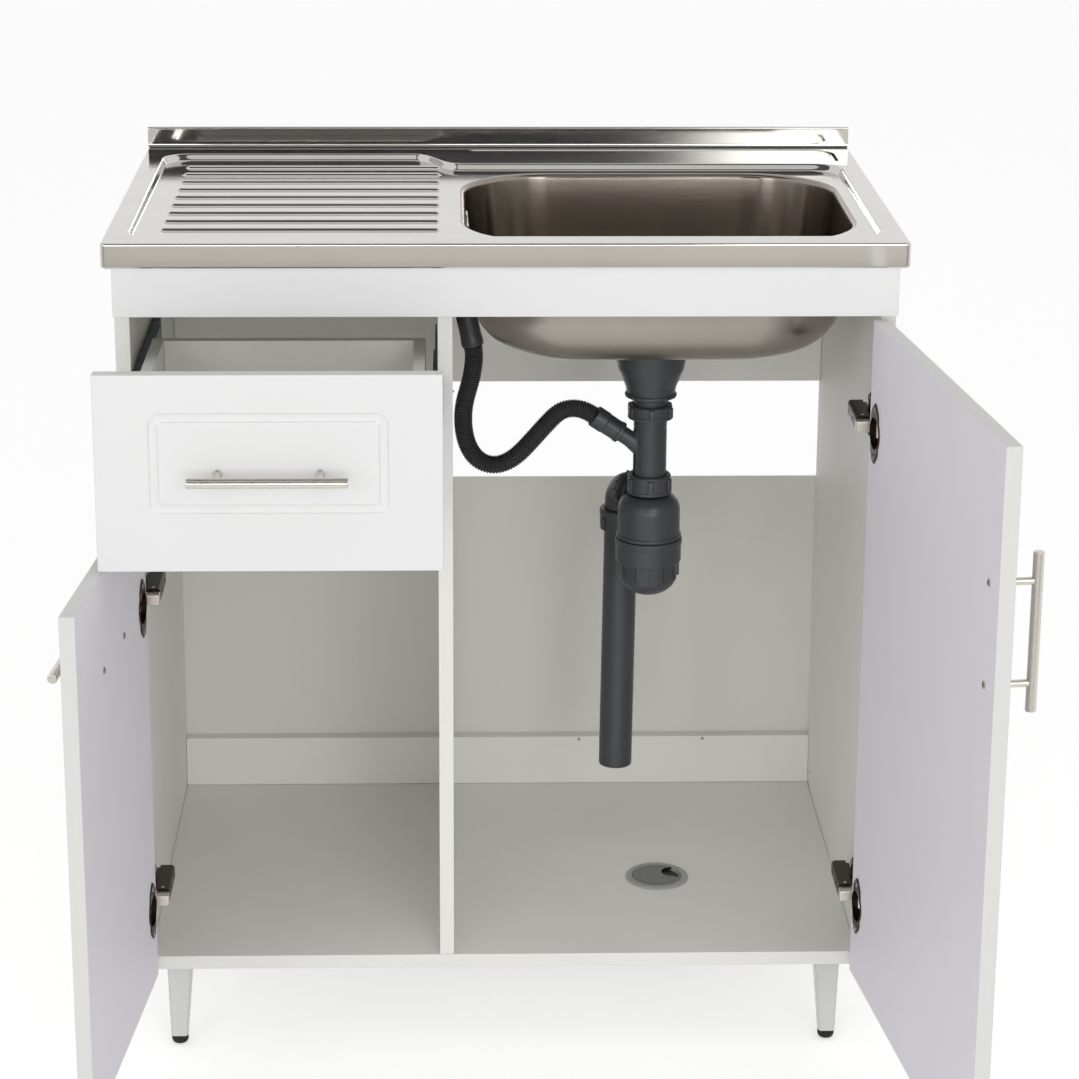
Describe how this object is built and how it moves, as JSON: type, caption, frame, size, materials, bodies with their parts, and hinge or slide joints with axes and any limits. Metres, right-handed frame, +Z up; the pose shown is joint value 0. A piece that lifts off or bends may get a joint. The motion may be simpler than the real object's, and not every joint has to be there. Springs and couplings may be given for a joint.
{
  "type": "sink base unit",
  "caption": "Kitchen sink cabinet with two hinged doors and a sliding drawer under a lay-on sink with drainer, with its trap and overflow hose.",
  "frame": {"origin": "on the floor, under the middle of the box round the whole unit as it stands open", "axes": "+X to the unit's right seen from the front, +Y to the wall behind it, +Z up"},
  "size_m": [0.9018, 0.94, 0.924],
  "materials": {
    "melamine_board": "white melamine-faced chipboard, satin",
    "front_board": "white lacquered board, semi-gloss",
    "hardboard": "thin white-faced fibreboard",
    "foot_rubber": "black rubber",
    "stainless_steel": "polished deck with satin bowl",
    "bright_chrome": "bright chrome plate",
    "handle_nickel": "satin nickel plate",
    "hinge_nickel": "dark nickel plate",
    "slide_zinc": "blue zinc plate",
    "dark_plastic": "moulded dark grey polypropylene",
    "grommet_plastic": "moulded mid grey plastic"
  },
  "bodies": {
    "cabinet": {"side_panel_left": "melamine_board", "side_panel_right": "melamine_board", "divider_panel": "melamine_board", "bottom_panel": "melamine_board", "rear_rail_lower": "melamine_board", "rear_rail_upper": "melamine_board", "fascia_rail": "front_board", "back_panel": "hardboard", "leg_front_left": "front_board", "foot_front_left": "foot_rubber", "leg_rear_left": "front_board", "foot_rear_left": "foot_rubber", "leg_front_right": "front_board", "foot_front_right": "foot_rubber", "leg_rear_right": "front_board", "foot_rear_right": "foot_rubber", "sink_top": "stainless_steel", "corner_block_left": "dark_plastic", "corner_block_right": "dark_plastic", "waste_body": "dark_plastic", "waste_nut": "dark_plastic", "tailpipe_branch": "dark_plastic", "trap_inlet_nut": "dark_plastic", "trap_body": "dark_plastic", "trap_cup": "dark_plastic", "outlet_elbow": "dark_plastic", "outlet_nut": "dark_plastic", "outlet_pipe": "dark_plastic", "overflow_rosette": "bright_chrome", "overflow_elbow": "dark_plastic", "hose_cuff_upper": "dark_plastic", "overflow_hose": "dark_plastic", "hose_cuff_lower": "dark_plastic", "hinge_arm_right_upper": "hinge_nickel", "hinge_arm_right_lower": "hinge_nickel", "hinge_arm_left_upper": "hinge_nickel", "hinge_arm_left_lower": "hinge_nickel", "slide_outer_left": "slide_zinc", "slide_outer_right": "slide_zinc", "grommet_ring": "grommet_plastic"},
    "right_door": {"door_right": "front_board", "handle_right": "handle_nickel", "hinge_cup_right_upper": "hinge_nickel", "hinge_cup_right_lower": "hinge_nickel"},
    "left_door": {"door_left": "front_board", "handle_left": "handle_nickel", "hinge_cup_left_upper": "hinge_nickel", "hinge_cup_left_lower": "hinge_nickel"},
    "drawer": {"drawer_front": "front_board", "drawer_side_left": "melamine_board", "drawer_side_right": "melamine_board", "drawer_back": "melamine_board", "drawer_bottom": "hardboard", "handle_drawer": "handle_nickel", "slide_inner_left": "slide_zinc", "slide_inner_right": "slide_zinc"},
    "left_slide_member": {"slide_middle_left": "slide_zinc"},
    "right_slide_member": {"slide_middle_right": "slide_zinc"},
    "cable_cap": {"grommet_cap": "grommet_plastic"},
    "basket": {"basket_strainer": "stainless_steel"}
  },
  "joints": [
    {"name": "right_door_hinge", "type": "hinge", "parent": "cabinet", "child": "right_door", "pos_m": [0.3677, -0.03, 0.45], "axis": [0, 0, 1], "range_deg": [-96.9, 13.1]},
    {"name": "left_door_hinge", "type": "hinge", "parent": "cabinet", "child": "left_door", "pos_m": [-0.3953, -0.03, 0.37], "axis": [0, 0, -1], "range_deg": [-95.4, 14.6]},
    {"name": "drawer_slide", "type": "slide", "parent": "cabinet", "child": "drawer", "axis": [0, -1, 0], "range_m": [-0.201, 0.099]},
    {"name": "left_slide_travel", "type": "slide", "parent": "cabinet", "child": "left_slide_member", "axis": [0, -1, 0], "range_m": [-0.1005, 0.0495]},
    {"name": "right_slide_travel", "type": "slide", "parent": "cabinet", "child": "right_slide_member", "axis": [0, -1, 0], "range_m": [-0.1005, 0.0495]},
    {"name": "cable_cap_turn", "type": "hinge", "parent": "cabinet", "child": "cable_cap", "pos_m": [0.1602, 0.178, 0.125], "axis": [0, 0, 1], "continuous": true},
    {"name": "basket_lift", "type": "slide", "parent": "cabinet", "child": "basket", "axis": [0, 0, 1], "range_m": [0, 0.06]}
  ],
  "couplings": [
    {"joint": "left_slide_travel", "follows": "drawer_slide", "ratio": 0.5},
    {"joint": "right_slide_travel", "follows": "drawer_slide", "ratio": 0.5}
  ]
}
